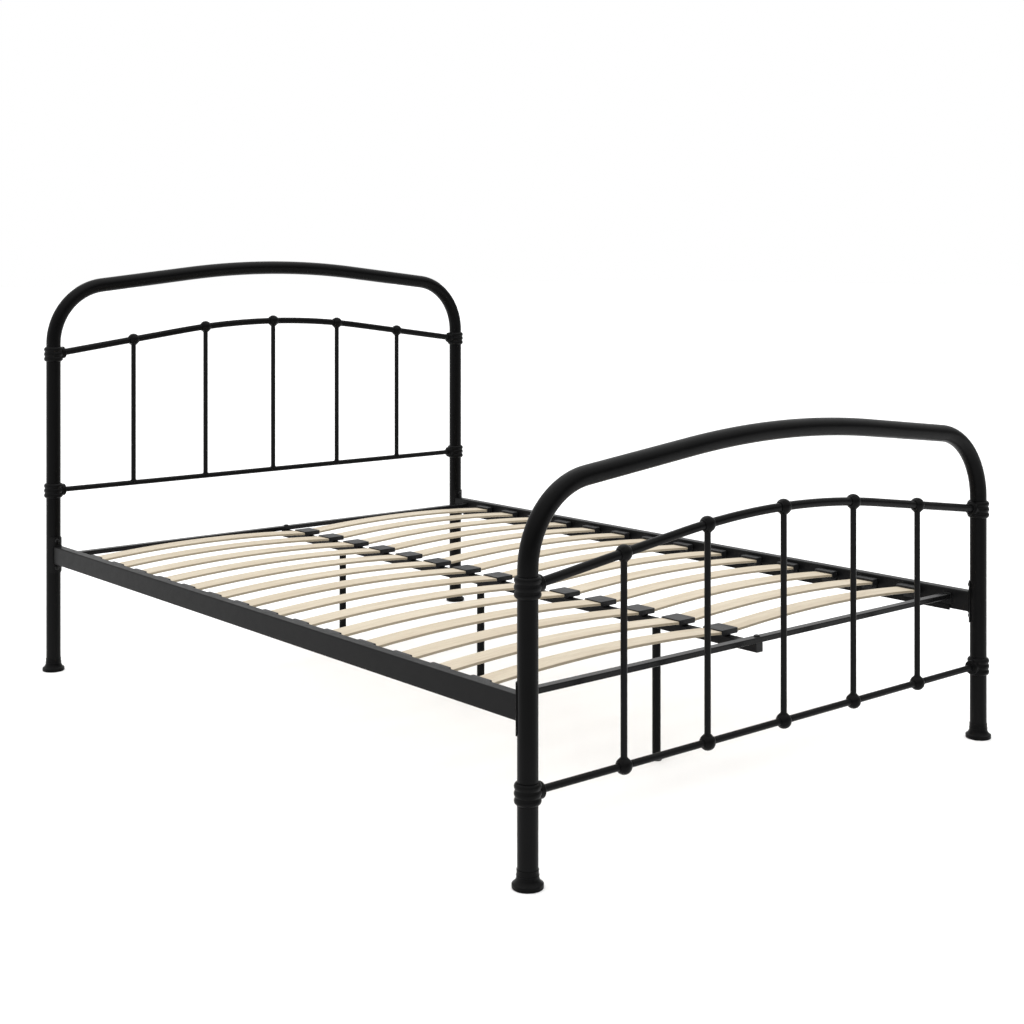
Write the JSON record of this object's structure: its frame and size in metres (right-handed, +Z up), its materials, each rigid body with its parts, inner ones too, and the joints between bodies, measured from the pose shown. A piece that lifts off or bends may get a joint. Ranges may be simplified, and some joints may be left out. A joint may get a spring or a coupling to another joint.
{
  "type": "metal bed frame",
  "caption": "Tubular metal double bed frame: hooped headboard and footboard with spindles, box side rails, centre rail on legs, and two rows of bowed wooden slats in plastic holders.",
  "frame": {"origin": "on the floor at the middle of the four posts", "axes": "+Y from the footboard to the headboard, +Z up, +X to the right seen from the foot"},
  "size_m": [1.4376, 2.0214, 1.105],
  "materials": {
    "frame_black": "satin black powder coat on steel tube",
    "casting_black": "satin black powder coat on castings",
    "bolt_black": "black coated steel fasteners",
    "zinc_steel": "zinc plated",
    "holder_plastic": "moulded, fine matt grain",
    "glide_plastic": "moulded, matt",
    "slat_wood": "clear lacquered birch laminate"
  },
  "bodies": {
    "frame": {"headboard_hoop": "frame_black", "headboard_upper_rail": "frame_black", "headboard_lower_rail": "frame_black", "headboard_spindles": "frame_black", "footboard_hoop": "frame_black", "footboard_upper_rail": "frame_black", "footboard_lower_rail": "frame_black", "footboard_spindles": "frame_black", "side_rail_right": "frame_black", "side_rail_left": "frame_black", "rail_strips": "frame_black", "rail_saddles": "frame_black", "head_crossbar": "frame_black", "foot_crossbar": "frame_black", "centre_rail": "frame_black", "centre_legs": "frame_black", "headboard_knobs": "casting_black", "headboard_collars": "casting_black", "footboard_knobs": "casting_black", "footboard_collars": "casting_black", "post_feet": "casting_black", "rail_bolts": "bolt_black", "crossbar_bolts": "bolt_black", "rail_nuts": "zinc_steel", "centre_rail_plugs": "holder_plastic", "leg_inserts": "holder_plastic", "slat_holders_right": "holder_plastic", "slat_holders_left": "holder_plastic", "slat_holders_centre": "holder_plastic", "slat_right_01": "slat_wood", "slat_right_02": "slat_wood", "slat_right_03": "slat_wood", "slat_right_04": "slat_wood", "slat_right_05": "slat_wood", "slat_right_06": "slat_wood", "slat_right_07": "slat_wood", "slat_right_08": "slat_wood", "slat_right_09": "slat_wood", "slat_right_10": "slat_wood", "slat_right_11": "slat_wood", "slat_right_12": "slat_wood", "slat_right_13": "slat_wood", "slat_right_14": "slat_wood", "slat_left_01": "slat_wood", "slat_left_02": "slat_wood", "slat_left_03": "slat_wood", "slat_left_04": "slat_wood", "slat_left_05": "slat_wood", "slat_left_06": "slat_wood", "slat_left_07": "slat_wood", "slat_left_08": "slat_wood", "slat_left_09": "slat_wood", "slat_left_10": "slat_wood", "slat_left_11": "slat_wood", "slat_left_12": "slat_wood", "slat_left_13": "slat_wood", "slat_left_14": "slat_wood"},
    "foot_glide": {"glide_foot": "glide_plastic"},
    "middle_glide": {"glide_middle": "glide_plastic"},
    "head_glide": {"glide_head": "glide_plastic"}
  },
  "joints": [
    {"name": "foot_glide_screw", "type": "slide", "parent": "frame", "child": "foot_glide", "axis": [0, 0, 1], "range_m": [-0.006, 0.005]},
    {"name": "middle_glide_screw", "type": "slide", "parent": "frame", "child": "middle_glide", "axis": [0, 0, 1], "range_m": [-0.006, 0.005]},
    {"name": "head_glide_screw", "type": "slide", "parent": "frame", "child": "head_glide", "axis": [0, 0, 1], "range_m": [-0.006, 0.005]}
  ]
}
